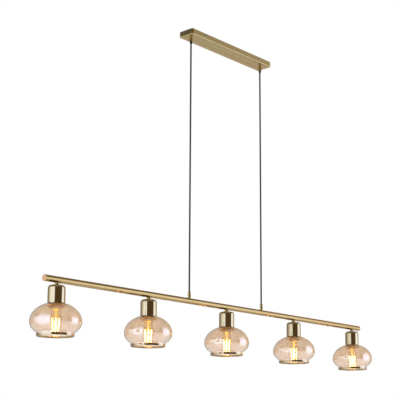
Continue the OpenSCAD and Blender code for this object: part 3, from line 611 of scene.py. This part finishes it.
def swept(path, radius, sides):
    """Round tube along a path: ring k lies square to the path, with radius k; both ends close in a pole.

    A ring's point at angle a is path + radius * (aside * cos a + over * sin a). The path and radii are in
    mm; a round end is a path whose radii shrink like a quarter circle.
    """
    # Any direction that no path here runs along
    tilted = np.array([0.31, 0.87, 0.38])
    path = np.asarray(path, float)
    radius = np.broadcast_to(np.asarray(radius, float), (len(path),))
    ahead = np.gradient(path, axis=0)
    ahead /= np.linalg.norm(ahead, axis=1, keepdims=True)
    aside = np.cross(ahead, tilted)
    aside /= np.linalg.norm(aside, axis=1, keepdims=True)
    over = np.cross(ahead, aside)
    angle = np.arange(sides) * 2 * np.pi / sides
    ring = aside[:, None] * np.cos(angle)[None, :, None] + over[:, None] * np.sin(angle)[None, :, None]
    points = path[:, None] + radius[:, None, None] * ring
    count = len(path)
    here = np.arange(count * sides).reshape(count, sides)
    side = np.roll(here, -1, axis=1)
    faces = np.stack([here[:-1], side[:-1], side[1:], here[1:]], axis=-1).reshape(-1, 4).tolist()
    first, last = count * sides, count * sides + 1
    faces += [[first, b, a] for a, b in zip(here[0].tolist(), side[0].tolist())]
    faces += [[a, b, last] for a, b in zip(here[-1].tolist(), side[-1].tolist())]
    verts = np.concatenate([points.reshape(-1, 3), path[:1], path[-1:]])
    run = np.concatenate([[0], np.cumsum(np.linalg.norm(np.diff(path, axis=0), axis=1))]) * MM
    corner_u = np.array([[0, 1, 1, 0]]) / sides + np.arange(sides)[:, None] / sides
    u = np.broadcast_to(corner_u, (count - 1, sides, 4))
    v = np.stack([run[:-1], run[:-1], run[1:], run[1:]], axis=-1)[:, None]
    quad_uv = np.stack([u, np.broadcast_to(v, u.shape)], axis=-1).reshape(-1, 2)
    cap_u = np.arange(sides)[:, None] / sides + np.array([[0.5, 1, 0]]) / sides
    low_uv = np.stack([cap_u, np.full(cap_u.shape, run[0])], axis=-1).reshape(-1, 2)
    high_uv = np.stack([cap_u[:, [2, 1, 0]], np.full(cap_u.shape, run[-1])], axis=-1).reshape(-1, 2)
    return verts, faces, np.concatenate([quad_uv, low_uv, high_uv])


def joined(parts):
    """Several pieces' points, faces and UVs as one."""
    verts, faces, uvs, count = [], [], [], 0
    for points, sides, uv in parts:
        verts.append(points)
        faces += [[k + count for k in face] for face in sides]
        uvs.append(uv)
        count += len(points)
    return np.concatenate(verts), faces, np.concatenate(uvs)


def piece(name, form, material, body, slot, *nodes):
    """Makes a form, given in mm, an object in metres that rides on a body and stands for CAD nodes."""
    points, faces, uv = form
    mesh = bpy.data.meshes.new(name)
    mesh.from_pydata((np.asarray(points) * MM).tolist(), [], faces)
    layer = mesh.uv_layers.new(name="along_and_round")
    layer.data.foreach_set("uv", uv.ravel())
    mesh.shade_smooth()
    mesh.materials.append(material)
    made = bpy.data.objects.new(name, mesh)
    bpy.context.scene.collection.objects.link(made)
    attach(made, body)
    if nodes:
        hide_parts(*nodes)
    return made


# Cables


def cable(name, x, node):
    """Straight round cable with a domed upper end inside its bush, from the bar to the canopy.

    The dome is a half ball, of rings of radius r cos t at height r sin t, up to just short of its pole.
    """
    r = CABLE_D / 2
    near_pole, rings, sides = 1.45, 46, 32
    turn = np.linspace(0, near_pole, 7)
    dome = [(x, 0, CABLE_TOP + r * math.sin(t)) for t in turn]
    dome_r = [r * math.cos(t) for t in turn]
    straight = [(x, 0, z) for z in np.linspace(CABLE_LOW, CABLE_TOP, rings)[:-1]]
    form = swept(straight + dome, [r] * len(straight) + dome_r, sides)
    made = piece(name, form, SHEATH, "cable_pair", "black_cable", node)
    # The surplus goes up through the gland as the bar is raised 0.5 m: 0.319 of 0.819 m is left below it
    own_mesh(made)


# Lamp heads


def cup_form(x):
    """Spun cup: a straight side, a round shoulder and the hole for the stem, as one rounded outline."""
    outline = rounded(
        [
            (CUP_R, CUP_LOW, 0.5),
            (CUP_R, CUP_TOP, CUP_SHOULDER),
            (CUP_HOLE_R, CUP_TOP, 0.2),
            (CUP_HOLE_R, CUP_TOP - CUP_T, 0.2),
            (CUP_R - CUP_T, CUP_TOP - CUP_T, CUP_SHOULDER - CUP_T),
            (CUP_R - CUP_T, CUP_LOW, 0.5),
        ],
        steps=14,
    )
    return revolved(outline, x, turns=192)


def holder_form(x):
    """Lampholder: a threaded skirt, a round shoulder, the boss on the stem and the socket inside.

    The outline runs from the socket's end on the axis, round the mouth and up the outside, to the boss.
    """
    body_top = HOLDER_LOW + HOLDER_BODY_H
    boss_floor, socket_top, socket_low = body_top + 1, HOLDER_LOW + SOCKET_DEEP, HOLDER_LOW + SOCKET_LIP
    outline = rounded(
        [
            (HOLDER_MOUTH_R, HOLDER_LOW, 0.4),
            (HOLDER_R, HOLDER_LOW, 0.9),
            (HOLDER_R, body_top, 9),
            (HOLDER_BOSS_R, body_top, 0.6),
            (HOLDER_BOSS_R, HOLDER_TOP, 0.5),
            (HOLDER_BOSS_HOLE_R, HOLDER_TOP, 0.3),
            (HOLDER_BOSS_HOLE_R, boss_floor, 0),
            (0, boss_floor, 0),
            (0, socket_top, 0),
            (SOCKET_R, socket_top, 0.5),
            (SOCKET_R, socket_low, 0.2),
            (HOLDER_MOUTH_R, socket_low, 0.1),
        ],
        steps=6,
    )
    first_on_axis = int(np.argmax(outline[:, 0] < 1e-9))
    outline = np.roll(outline, -first_on_axis - 1, axis=0)
    # The skirt's upright line gets enough points to carry the thread
    rows, skirt_low, skirt_top = 110, HOLDER_LOW + 1.5, body_top - 10
    wall = np.flatnonzero(abs(outline[:, 0] - HOLDER_R) < 1e-6)
    rise = np.linspace(skirt_low, skirt_top, rows)
    skirt = np.stack([np.full(rows, HOLDER_R), rise], axis=1)
    outline = np.concatenate([outline[: wall[0] + 1], skirt, outline[wall[-1] :]])
    thread_low, thread_top = HOLDER_LOW + 2, body_top - 18

    def thread(r, z, a):
        """Round grooves, a raised cosine that climbs one pitch a turn and fades out at both ends."""
        fade = np.clip((z - thread_low) / 1.5, 0, 1) * np.clip((thread_top - z) / 2, 0, 1)
        wave = 0.5 - 0.5 * np.cos(2 * np.pi * z / HOLDER_THREAD_PITCH - a)
        return np.where(r > HOLDER_R - 0.01, r - HOLDER_THREAD_DEEP * fade * wave, r)

    return revolved(outline, x, turns=96, warp=thread)


def ring_form(x):
    """Shade ring: a flange under the glass with finger notches in its edge, and a sleeve below it.

    The flange's top edge touches the inside of the shade: at radius RING_FLANGE_R the shade's inner
    ellipse stands SHADE_UP - SHADE_T times the root of one less the square of the radii's ratio high.
    """
    reach = RING_FLANGE_R / (SHADE_R - SHADE_T)
    top = SHADE_MID + (SHADE_UP - SHADE_T) * math.sqrt(1 - reach**2) - SEAT
    under = top - RING_FLANGE_T
    foot = under - RING_SLEEVE_H
    outline = rounded(
        [
            (RING_R, foot, 0.2),
            (RING_OUT_R, foot, 0.5),
            (RING_OUT_R, under, 0.4),
            (RING_FLANGE_R, under, 0.7),
            (RING_FLANGE_R, top, 0.4),
            (RING_R, top, 0.2),
        ],
        steps=6,
    )
    count, notch_r, notch_off = 12, 1.5, 0.6

    def notches(r, z, a):
        """Round dips of radius notch_r in the flange's edge, centred notch_off outside it."""
        off = (a * count / (2 * np.pi) + 0.5) % 1 - 0.5
        across = off * 2 * np.pi / count * RING_FLANGE_R
        dip = np.sqrt(np.clip(notch_r**2 - across**2, 0, None))
        edge = RING_FLANGE_R + notch_off - dip
        return np.where((r > RING_OUT_R + 1) & (dip > 0), np.minimum(r, edge), r)

    return revolved(outline, x, turns=288, warp=notches)


def shade_side(inset):
    """One face of the shade, from the lip over the widest line up to the hole, inset from the outside.

    A squashed ball: an upper and a lower half ellipse on one widest line, then a short straight lip,
    softened over five points 0.8 mm apart.
    """
    apart, window = 0.8, 5
    a = SHADE_R - inset
    first, last = math.asin(SHADE_HOLE_R / a), math.acos((LIP_R - inset) / a)
    up = np.linspace(first, math.pi / 2, 90)
    down = np.linspace(0, last, 60)
    dome = np.stack([a * np.sin(up), SHADE_MID + (SHADE_UP - inset) * np.cos(up)], axis=1)
    bowl = np.stack([a * np.cos(down), SHADE_MID - (SHADE_DOWN - inset) * np.sin(down)], axis=1)
    path = np.concatenate([dome, bowl[1:], [[LIP_R - inset, LIP_LOW]]])
    return softened(even(path, apart), window)[::-1]


def shade_form(x):
    """Blown shade: its outer and inner faces, with the cut edges at the hole and the lip smoothed.

    Also gives how many rows of faces lie on the outside.
    """
    outer, inner = shade_side(0), shade_side(SHADE_T)[::-1]
    hole_round, lip_round = 0.5, 0.8
    at_hole = [(*outer[-3], 0), (*outer[-1], hole_round), (*inner[0], hole_round), (*inner[2], 0)]
    at_lip = [(*inner[-3], 0), (*inner[-1], lip_round), (*outer[0], lip_round), (*outer[2], 0)]
    hole, lip = rounded(at_hole, steps=5)[1:-1], rounded(at_lip, steps=5)[1:-1]
    outline = np.concatenate([outer[2:-2], hole, inner[2:-2], lip])
    return revolved(outline, x, SHADE_TURNS), len(outer[2:-2])


def rim_form(x):
    """Rim ring: a U-shaped channel, rolled so that every edge is round, that holds the glass lip."""
    t, high, inner_high = 0.9, 6.0, 4.5
    low = LIP_LOW - SEAT - t
    r_out, r_in = LIP_R + SEAT + t, LIP_R - SHADE_T - SEAT - t
    outline = rounded(
        [
            (r_out, low, 0.8),
            (r_out, low + high, 0.42),
            (r_out - t, low + high, 0.42),
            (r_out - t, low + t, 0.2),
            (r_in + t, low + t, 0.2),
            (r_in + t, low + inner_high, 0.42),
            (r_in, low + inner_high, 0.42),
            (r_in, low, 0.8),
        ],
        steps=7,
    )
    return revolved(outline, x, turns=240)


def bulb_side(inset):
    """One face of the candle bulb from its neck to its tip, inset from the outside.

    The radius swells from the neck like a half cosine, then closes like an ellipse whose power of 0.55
    instead of 0.5 points its tip a little. crowding brings the points closer together towards the tip.
    """
    crowding, tip_power = 1.4, 0.55
    u = np.linspace(0, 1, 120)
    s = (BULB_LEN - inset) * (1 - (1 - u) ** crowding)
    swell = BULB_NECK_R + (BULB_R - BULB_NECK_R) * (1 - np.cos(np.pi * s / BULB_WIDE)) / 2 - inset
    reach = np.clip((s - BULB_WIDE) / (BULB_LEN - inset - BULB_WIDE), 0, 1)
    close = (BULB_R - inset) * (1 - reach**2) ** tip_power
    r = np.where(s < BULB_WIDE, swell, close)
    r[-1] = 0
    neck = [[BULB_NECK_R - inset, CAP_RIM + 2]]
    return np.concatenate([neck, np.stack([r, CAP_RIM - s], axis=1)])


def bulb_form(x):
    """Blown bulb: outer face from the tip up to the neck, then the inner face back down."""
    outline = np.concatenate([bulb_side(0)[::-1], bulb_side(BULB_T)])
    return revolved(outline, x, turns=128)


def cap_forms(x):
    """Screw cap: the threaded shell, the black glass at its end and the soldered contact.

    The shell's outline is an upright wall and two slopes towards the tip, and the same line set inwards.
    """
    top = CAP_RIM + 2.5 + CAP_TURNS * CAP_PITCH
    tip = CAP_RIM + CAP_LEN
    mid_r = CAP_R - CAP_GROOVE / 2
    rows = 120
    wall = np.stack([np.full(rows, mid_r), np.linspace(CAP_RIM + 0.4, top, rows)], axis=1)
    outer = np.concatenate([[[mid_r, CAP_RIM]], wall, [[10.2, top + 1.2], [6.4, tip - 2.2]]])
    inner = outer[::-1] + [-0.4, -0.15]
    thread_low, thread_top = CAP_RIM + 1.6, top + 0.2

    def thread(r, z, a):
        """Round thread: a cosine that climbs one pitch a turn, fading in above the plain rim."""
        fade = np.clip((z - thread_low) / 1.5, 0, 1) * np.clip((thread_top - z) / 1.5, 0, 1)
        wave = np.cos(2 * np.pi * z / CAP_PITCH - a)
        return np.where(r > mid_r - 0.6, r + fade * CAP_GROOVE / 2 * wave, r)

    shell = revolved(np.concatenate([outer, inner]), x, turns=96, warp=thread)
    cone = rounded(
        [(0, tip - 2.6, 0), (6.3, tip - 2.6, 0.2), (5.4, tip - 1.2, 0.4), (0, tip - 1.2, 0)],
        steps=5,
    )
    contact = rounded(
        [(0, tip - 1.3, 0), (4.4, tip - 1.3, 0), (4.2, tip - 0.4, 0.3), (2.4, tip, 0.6), (0, tip, 0)],
        steps=5,
    )
    return shell, revolved(cone, x, turns=64), revolved(contact, x, turns=48)


def rod_ends(turn):
    """Upper and lower end of light rod number turn, from the bulb's axis, in mm."""
    a = math.radians(360 * turn / RODS + ROD_TURN)
    way = np.array([math.cos(a), math.sin(a), 0])
    high = way * ROD_HIGH_R + [0, 0, BAR_Z + ROD_TOP]
    low = way * ROD_FOOT_R + [0, 0, BAR_Z + ROD_LOW]
    return high, low


def capsule(a, b, r):
    """Straight rod between two points with a half ball on each end.

    A ball's rings have the radius r sin k and lie r cos k from its middle, along the rod.
    """
    sides, rings, least = 12, 5, 0.02 * r
    way = (b - a) / np.linalg.norm(b - a)
    t = np.linspace(0, math.pi / 2, rings)
    low = [a - way * r * math.cos(k) for k in t]
    high = [b + way * r * math.sin(k) for k in t]
    radii = [max(r * math.sin(k), least) for k in t] + [max(r * math.cos(k), least) for k in t]
    return swept(low + high, radii, sides)


def rods_form(x, r):
    """All the light rods of a bulb as capsules of radius r."""
    shift = np.array([x, 0, 0])
    return joined([capsule(low + shift, high + shift, r) for high, low in map(rod_ends, range(RODS))])


def wires_form(x):
    """Bent wires: from the stem out to the rods' upper ends, down the middle, and out to their feet.

    Each bend is a parabola from start to end whose two end tangents meet at its knee.
    """
    shift = np.array([x, 0, BAR_Z])
    mast_r, wire_r, sides = 0.4, 0.35, 8
    hub, foot_hub = shift + [0, 0, HUB_Z + 1], shift + [0, 0, ROD_LOW - 1.5]
    parts = [swept([shift + [0, 0, ROD_LOW - 2], hub], mast_r, sides)]
    t = np.linspace(0, 1, 9)[:, None]
    for high, low in map(rod_ends, range(RODS)):
        for start, end, rise in ((hub, high, 3.5), (foot_hub, low, -2.5)):
            knee = end + [x, 0, rise]
            bend = (1 - t) ** 2 * start + 2 * t * (1 - t) * knee + t**2 * (end + [x, 0, 0])
            parts.append(swept(bend, wire_r, sides))
    return joined(parts)


def stem_form(x):
    """Glass stem: a flare sealed to the neck that narrows to a tube with a swollen, pinched-off end.

    The radius is the tube's, plus the flare's falling off exponentially, plus a bell-shaped swelling.
    """
    length, tube_r, flare_r, fall, swelling_r, swelling_at, swelling_len = 21.1, 2.2, 8.8, 9, 0.7, 0.9, 0.06
    s = np.linspace(0, 1, 40)
    z = CAP_RIM + 1.6 - length * s
    swelling = swelling_r * np.exp(-(((s - swelling_at) / swelling_len) ** 2))
    r = tube_r + flare_r * np.exp(-s * fall) + swelling
    tip = [[1.2, z[-1] - 0.5], [0, z[-1] - 0.6]]
    outline = np.concatenate([[[0, z[0]]], np.stack([r, z], axis=1), tip])
    return revolved(outline, x, turns=48)


def lamp_head(i, x):
    """All the pieces of one light: those of the head ride on the bar, those of the bulb on the bulb."""
    piece(f"spun_cup_{i}", cup_form(x), SPUN, "light_bar", "cup_brass", f"cup_{i}")
    piece(f"holder_body_{i}", holder_form(x), PHENOLIC, "light_bar", "holder_plastic", f"lampholder_{i}")
    piece(f"notched_ring_{i}", ring_form(x), CAST_RING_PAINTED_LIGHT, "light_bar", "ring_brass", f"shade_ring_{i}")
    form, outside = shade_form(x)
    shade = piece(f"blown_shade_{i}", form, AMBER, "light_bar", "amber_glass", f"glass_shade_{i}")
    shade.data.materials.append(AMBER_INNER)
    rows = np.arange(len(shade.data.polygons)) // SHADE_TURNS
    shade.data.polygons.foreach_set("material_index", (rows >= outside).astype(np.int32))
    piece(f"rolled_rim_{i}", rim_form(x), ROLLED, "light_bar", "rim_brass", f"rim_ring_{i}")
    bulb = f"bulb_{i}"
    piece(f"candle_glass_{i}", bulb_form(x), CLEAR, bulb, "bulb_glass", f"bulb_glass_{i}")
    shell, cone, contact = cap_forms(x)
    piece(f"cap_shell_{i}", shell, CAP_SHELL, bulb, "bulb_cap_brass", f"bulb_cap_{i}")
    piece(f"cap_insulator_{i}", cone, CAP_GLASS, bulb, "bulb_cap_brass", f"bulb_cap_{i}")
    piece(f"cap_contact_{i}", contact, SOLDER, bulb, "bulb_cap_brass", f"bulb_cap_{i}")
    node = f"bulb_filament_{i}"
    piece(f"rod_cores_{i}", rods_form(x, CORE_R), CORE, bulb, "lit_filament", node)
    piece(f"rod_sheaths_{i}", rods_form(x, SHEATH_R), GLOW, bulb, "lit_filament", node)
    piece(f"rod_wires_{i}", wires_form(x), WIRES, bulb, "lit_filament", node)
    piece(f"glass_stem_{i}", stem_form(x), STEM, bulb, "lit_filament", node)


def dress(material, *names):
    """Gives CAD nodes that keep their shape a finish."""
    for name in names:
        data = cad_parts[name].data
        data.materials.clear()
        data.materials.append(material)


# Studio


def emitter(name, colour, strength, crisp=None):
    """Plain glowing card; a lamp's cloth fades out from its middle, but for the side that crisp names."""
    made, tree, out = blank(name)
    full_to, gone_at = 0.08, 0.5
    light = add(tree, "ShaderNodeEmission", {"Color": linear(colour), "Strength": strength})
    if crisp:
        place = add(tree, "ShaderNodeTexCoord")
        # The half towards the crisp side counts as the middle
        held = add(
            tree,
            "ShaderNodeVectorMath",
            {0: place.outputs["UV"], 1: (0.5, 1, 0) if crisp == "right" else (0.5, 0, 0)},
            operation="MINIMUM" if crisp == "right" else "MAXIMUM",
        )
        off = add(
            tree,
            "ShaderNodeVectorMath",
            {0: held.outputs[0], 1: (0.5, 0.5, 0)},
            operation="DISTANCE",
        )
        fade = add(
            tree,
            "ShaderNodeMapRange",
            {
                "Value": off.outputs["Value"],
                "From Min": full_to,
                "From Max": gone_at,
                "To Min": 1.0,
                "To Max": 0.0,
            },
            interpolation_type="SMOOTHSTEP",
        )
        nothing = add(tree, "ShaderNodeBsdfTransparent")
        light = add(
            tree,
            "ShaderNodeMixShader",
            {0: fade.outputs[0], 1: nothing.outputs[0], 2: light.outputs[0]},
        )
    tree.links.new(light.outputs[0], out.inputs[0])
    # Cards this large are found by the reflections themselves, with less noise
    made.cycles.emission_sampling = "NONE"
    return made


def stage_mesh(name, points, material, columns, reflect_only=True):
    """Grid of stage points with columns to a row; cards show only in reflections."""
    points = np.asarray(points, float)
    rows = len(points) // columns
    here = np.arange(len(points)).reshape(rows, columns)
    faces = np.stack([here[:-1, :-1], here[:-1, 1:], here[1:, 1:], here[1:, :-1]], axis=-1).reshape(-1, 4)
    mesh = bpy.data.meshes.new(name)
    mesh.from_pydata(points.tolist(), [], faces.tolist())
    u, v = np.meshgrid(np.linspace(0, 1, columns), np.linspace(0, 1, rows))
    layer = mesh.uv_layers.new(name="card")
    layer.data.foreach_set("uv", np.stack([u.ravel(), v.ravel()], -1)[faces.ravel()].ravel())
    mesh.materials.append(material)
    made = bpy.data.objects.new(name, mesh)
    bpy.context.scene.collection.objects.link(made)
    if reflect_only:
        made.visible_camera = made.visible_transmission = made.visible_shadow = False
    return made


def round_the_light(beta, radius):
    """Point of the floor plan at angle beta in degrees from the camera's direction, to its right."""
    a = math.radians(CAMERA_ANGLE + beta)
    return np.array([radius * math.cos(a), radius * math.sin(a)])


def card(name, start, end, foot, material):
    """Curved upright card round the object between two angles from the camera's direction."""
    columns = 25
    around = [round_the_light(b, FLAG_REACH) for b in np.linspace(start, end, columns)]
    points = [(x, y, z) for z in (foot, FLAG_TOP) for x, y in around]
    made = stage_mesh(name, points, material, columns)
    made.visible_diffuse = False


def softbox(name, beta, distance, z, width, height, material):
    """Flat lamp of three by three points, facing the bar's middle from the angle beta."""
    x, y = round_the_light(beta, distance)
    middle = np.array([x, y, z])
    aside = np.array([-y, x, 0]) / math.hypot(x, y)
    points = [
        middle + aside * (s - 0.5) * width + np.array([0, 0, (t - 0.5) * height])
        for t in (0, 0.5, 1)
        for s in (0, 0.5, 1)
    ]
    stage_mesh(name, points, material, 3)


def seen_level(tree, otherwise, seen):
    """Level that is one number where a surface is seen, in a mirror or glass too, and another elsewhere."""
    path = add(tree, "ShaderNodeLightPath")
    mirrored = add(
        tree,
        "ShaderNodeMath",
        {0: path.outputs["Is Camera Ray"], 1: path.outputs["Is Glossy Ray"]},
        operation="MAXIMUM",
    )
    direct = add(
        tree,
        "ShaderNodeMath",
        {0: mirrored.outputs[0], 1: path.outputs["Is Transmission Ray"]},
        operation="MAXIMUM",
    )
    level = add(
        tree,
        "ShaderNodeMapRange",
        {"Value": direct.outputs[0], "To Min": otherwise, "To Max": seen},
    )
    return level.outputs[0]


def white_room():
    """World that is white where it is seen and lights the object at about half of that."""
    lighting, seen = 0.55, 1.0
    world = bpy.data.worlds.new("white_room")
    bpy.context.scene.world = world
    world.use_nodes = True
    world.cycles.sampling_method = "NONE"
    tree = world.node_tree
    tree.nodes.clear()
    level = seen_level(tree, lighting, seen)
    sky = add(tree, "ShaderNodeBackground", {"Color": (1, 1, 1, 1), "Strength": level})
    out = add(tree, "ShaderNodeOutputWorld")
    tree.links.new(sky.outputs[0], out.inputs[0])


def pale_floor():
    """Painted screed: pale, mottled over half a metre, and clear from below.

    It glows a little where it is seen, so that it looks nearly as white as the room behind it.
    """
    made, tree, out = blank("pale_floor")
    mottle_per_m, seen_glow = 2.0, 0.22
    place = add(tree, "ShaderNodeTexCoord")
    mottle = add(
        tree,
        "ShaderNodeTexNoise",
        {"Vector": place.outputs["Object"], "Scale": mottle_per_m, "Detail": 3.0},
    )
    tone = add(
        tree,
        "ShaderNodeMix",
        {0: mottle.outputs[0], 6: linear("#efedea"), 7: linear("#f4f2ef")},
        data_type="RGBA",
    )
    skin = add(
        tree,
        "ShaderNodeBsdfPrincipled",
        {
            "Base Color": tone.outputs[2],
            "Roughness": 0.9,
            "Emission Color": (1, 1, 1, 1),
            "Emission Strength": seen_level(tree, 0.0, seen_glow),
        },
    )
    # A ray that comes from below passes, so a low camera still sees the light
    looked_at = add(tree, "ShaderNodeNewGeometry")
    towards = add(tree, "ShaderNodeSeparateXYZ", {0: looked_at.outputs["Incoming"]})
    below = add(tree, "ShaderNodeMath", {0: towards.outputs[2], 1: 0.0}, operation="LESS_THAN")
    clear = add(tree, "ShaderNodeBsdfTransparent")
    one_sided = add(
        tree, "ShaderNodeMixShader", {0: below.outputs[0], 1: skin.outputs[0], 2: clear.outputs[0]}
    )
    tree.links.new(one_sided.outputs[0], out.inputs[0])
    return made


def studio():
    """White room with a pale floor; toned cards round the light and two soft lamps for the metal."""
    white_room()
    corners = [(x, y, FLOOR_Z) for y in (-FLOOR_REACH, FLOOR_REACH) for x in (-FLOOR_REACH, FLOOR_REACH)]
    stage_mesh("floor", corners, pale_floor(), 2, reflect_only=False)

    # Card, its finish and tone, the angles where it starts and ends, and its foot
    flags = [
        ("flag_behind_camera", "dark_flag", "#695640", -18, 78, FLOOR_Z),
        ("flag_left", "left_flag", "#aca19a", -180, -100, FLOOR_Z),
        ("flag_right", "right_flag", "#caad89", 116, 180, FLOOR_Z),
        ("flag_high_left", "high_left_flag", "#443c30", -100, -18, HIGH_FLAG_FOOT),
        ("flag_high_right", "high_right_flag", "#b3a992", 78, 116, HIGH_FLAG_FOOT),
    ]
    for name, finish, tone, start, end, foot in flags:
        card(name, start, end, foot, emitter(finish, tone, 1.0))
    roof = [(x, y, ROOF_Z) for y in (-FLAG_REACH, FLAG_REACH) for x in (-FLAG_REACH, FLAG_REACH)]
    stage_mesh("flag_overhead", roof, emitter("overhead_flag", "#9f9684", 1.0), 2).visible_diffuse = False

    # Lamp, its cloth and crisp side, then its angle, distance, height, width and height of cloth
    lamps = [
        ("softbox_left", "left_lamp_cloth", "right", -51, 1.85, -1.15, 2.0, 3.2),
        ("softbox_right", "right_lamp_cloth", "left", 102, 2.7, -0.95, 3.0, 4.4),
    ]
    for name, cloth, crisp, beta, distance, z, width, height in lamps:
        softbox(name, beta, distance, z, width, height, emitter(cloth, LAMP_TONE, LAMP_LEVEL, crisp))


camera()
cable("cable_left", -CABLE_X, "suspension_cable_left")
cable("cable_right", CABLE_X, "suspension_cable_right")
for number, place_x in LIGHTS.items():
    lamp_head(number, place_x)

dress(SHEET, "ceiling_canopy")
dress(ZINC, "mounting_bracket", "bracket_screws")
dress(POLYAMIDE, "terminal_block")
dress(PLAIN, "terminal_screws", "gland_nuts", "socket_contacts")
dress(TURNED, "canopy_glands", "bar_cable_grips", "light_stems")
dress(OXIDE, "gland_set_screws", "grip_set_screws")
dress(BUSH, "cable_bushes")
dress(TAIL_CORES, "inner_cable_tails")
dress(BAR_CORES, "bar_wiring")
dress(TUBE, "bar_tube")
dress(CAPS, "bar_end_cap_left", "bar_end_cap_right")

studio()
scene = bpy.context.scene
scene.view_settings.view_transform = "Standard"
# Enough bounces for light to cross the walls of several shades and bulbs
scene.cycles.max_bounces = 20
scene.cycles.transmission_bounces = 20
scene.cycles.transparent_max_bounces = 16
